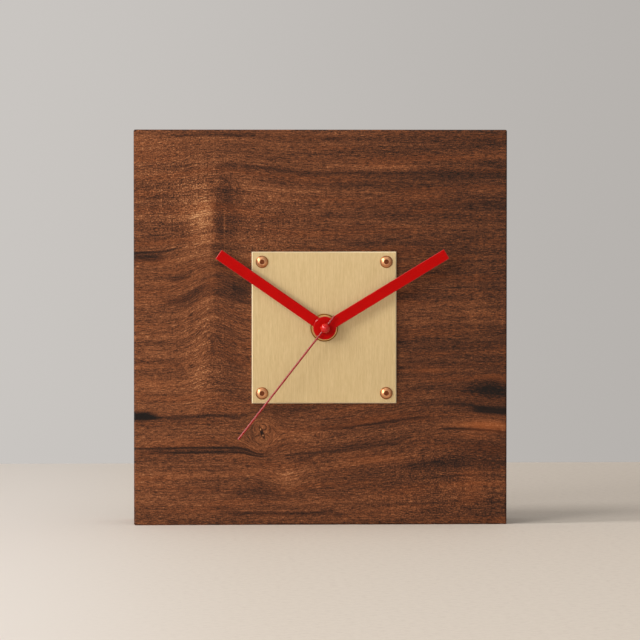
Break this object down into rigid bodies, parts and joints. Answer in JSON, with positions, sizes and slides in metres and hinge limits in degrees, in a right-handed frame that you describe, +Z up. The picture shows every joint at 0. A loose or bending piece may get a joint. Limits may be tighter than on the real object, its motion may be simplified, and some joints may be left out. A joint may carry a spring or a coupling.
{
  "type": "wooden desk clock",
  "caption": "Upright walnut block with a square brass plate, three red hands and a battery quartz movement in a pocket at its back.",
  "frame": {"origin": "middle of the block's underside", "axes": "+Z up, +X to the right seen from the front, +Y to the back; the hands' axis runs along Y"},
  "size_m": [0.17, 0.054, 0.18],
  "materials": {
    "walnut": "oiled solid walnut, grain level",
    "brass_plate": "brushed upright, satin",
    "copper_screw": "copper-plated steel button head",
    "brass": "turned, satin",
    "rubber": "soft black",
    "red_lacquer": "smooth red lacquer",
    "case_plastic": "fine-textured black moulding",
    "wheel_plastic": "natural acetal",
    "spring_steel": "bright strip",
    "steel": "ground",
    "magnet": "sintered ferrite",
    "iron": "stamped soft iron",
    "bobbin_plastic": "natural moulding",
    "copper_wire": "enamelled copper wire",
    "board": "green solder resist",
    "resin": "black potting resin",
    "tin": "drawn can",
    "contact": "nickel-plated strip",
    "cell_sleeve": "plain printed sleeve",
    "cell_steel": "nickel-plated",
    "knob_plastic": "fine-textured black moulding"
  },
  "bodies": {
    "case": {"walnut_block": "walnut", "brass_plate": "brass_plate", "plate_screws": "copper_screw", "ring_nut": "brass", "threaded_bush": "brass", "rubber_washer": "rubber", "movement_case": "case_plastic", "movement_cover": "case_plastic", "train_plate": "case_plastic", "stator": "iron", "coil_core": "iron", "coil_bobbin": "bobbin_plastic", "coil_winding": "copper_wire", "circuit_board": "board", "chip_cover": "resin", "quartz_crystal": "tin", "positive_contact": "contact", "negative_contact": "contact"},
    "minute": {"minute_hand": "red_lacquer", "minute_collet": "brass", "minute_tube": "wheel_plastic", "cannon_pinion": "wheel_plastic", "clutch_spring": "spring_steel", "centre_wheel": "wheel_plastic"},
    "hour": {"hour_hand": "red_lacquer", "hour_collet": "brass", "hour_wheel": "wheel_plastic"},
    "seconds": {"second_hand": "red_lacquer", "second_cap": "red_lacquer", "seconds_arbor": "steel", "seconds_wheel": "wheel_plastic"},
    "third": {"third_wheel": "wheel_plastic"},
    "intermediate": {"intermediate_wheel": "wheel_plastic"},
    "rotor": {"rotor_pinion": "wheel_plastic", "rotor_magnet": "magnet"},
    "motion_work": {"minute_wheel": "wheel_plastic"},
    "setter": {"setting_pinion": "wheel_plastic", "setting_knob": "knob_plastic"},
    "battery": {"battery_can": "cell_sleeve", "battery_nub": "cell_steel"}
  },
  "joints": [
    {"name": "minute_turn", "type": "hinge", "parent": "case", "child": "minute", "pos_m": [0.0015, 0, 0.09], "axis": [0, 1, 0], "continuous": true},
    {"name": "hour_turn", "type": "hinge", "parent": "case", "child": "hour", "pos_m": [0.0015, 0, 0.09], "axis": [0, 1, 0], "continuous": true},
    {"name": "seconds_turn", "type": "hinge", "parent": "case", "child": "seconds", "pos_m": [0.0015, 0, 0.09], "axis": [0, 1, 0], "continuous": true},
    {"name": "third_turn", "type": "hinge", "parent": "case", "child": "third", "pos_m": [0.00002, 0, 0.09837], "axis": [0, 1, 0], "continuous": true},
    {"name": "intermediate_turn", "type": "hinge", "parent": "case", "child": "intermediate", "pos_m": [0.00996, 0, 0.09308], "axis": [0, 1, 0], "continuous": true},
    {"name": "rotor_turn", "type": "hinge", "parent": "case", "child": "rotor", "pos_m": [0.01491, 0, 0.09803], "axis": [0, 1, 0], "continuous": true},
    {"name": "motion_work_turn", "type": "hinge", "parent": "case", "child": "motion_work", "pos_m": [-0.0069, 0, 0.09], "axis": [0, 1, 0], "continuous": true},
    {"name": "setting_turn", "type": "hinge", "parent": "case", "child": "setter", "pos_m": [-0.01479, 0, 0.08713], "axis": [0, 1, 0], "continuous": true},
    {"name": "battery_lift", "type": "slide", "parent": "case", "child": "battery", "axis": [0, 1, 0], "range_m": [0, 0.03]}
  ],
  "couplings": [
    {"joint": "hour_turn", "follows": "minute_turn", "ratio": 0.083333},
    {"joint": "seconds_turn", "follows": "minute_turn", "ratio": 60},
    {"joint": "third_turn", "follows": "minute_turn", "ratio": -8},
    {"joint": "intermediate_turn", "follows": "minute_turn", "ratio": -300},
    {"joint": "rotor_turn", "follows": "minute_turn", "ratio": 1800},
    {"joint": "motion_work_turn", "follows": "minute_turn", "ratio": -0.33333},
    {"joint": "setting_turn", "follows": "minute_turn", "ratio": 1}
  ]
}
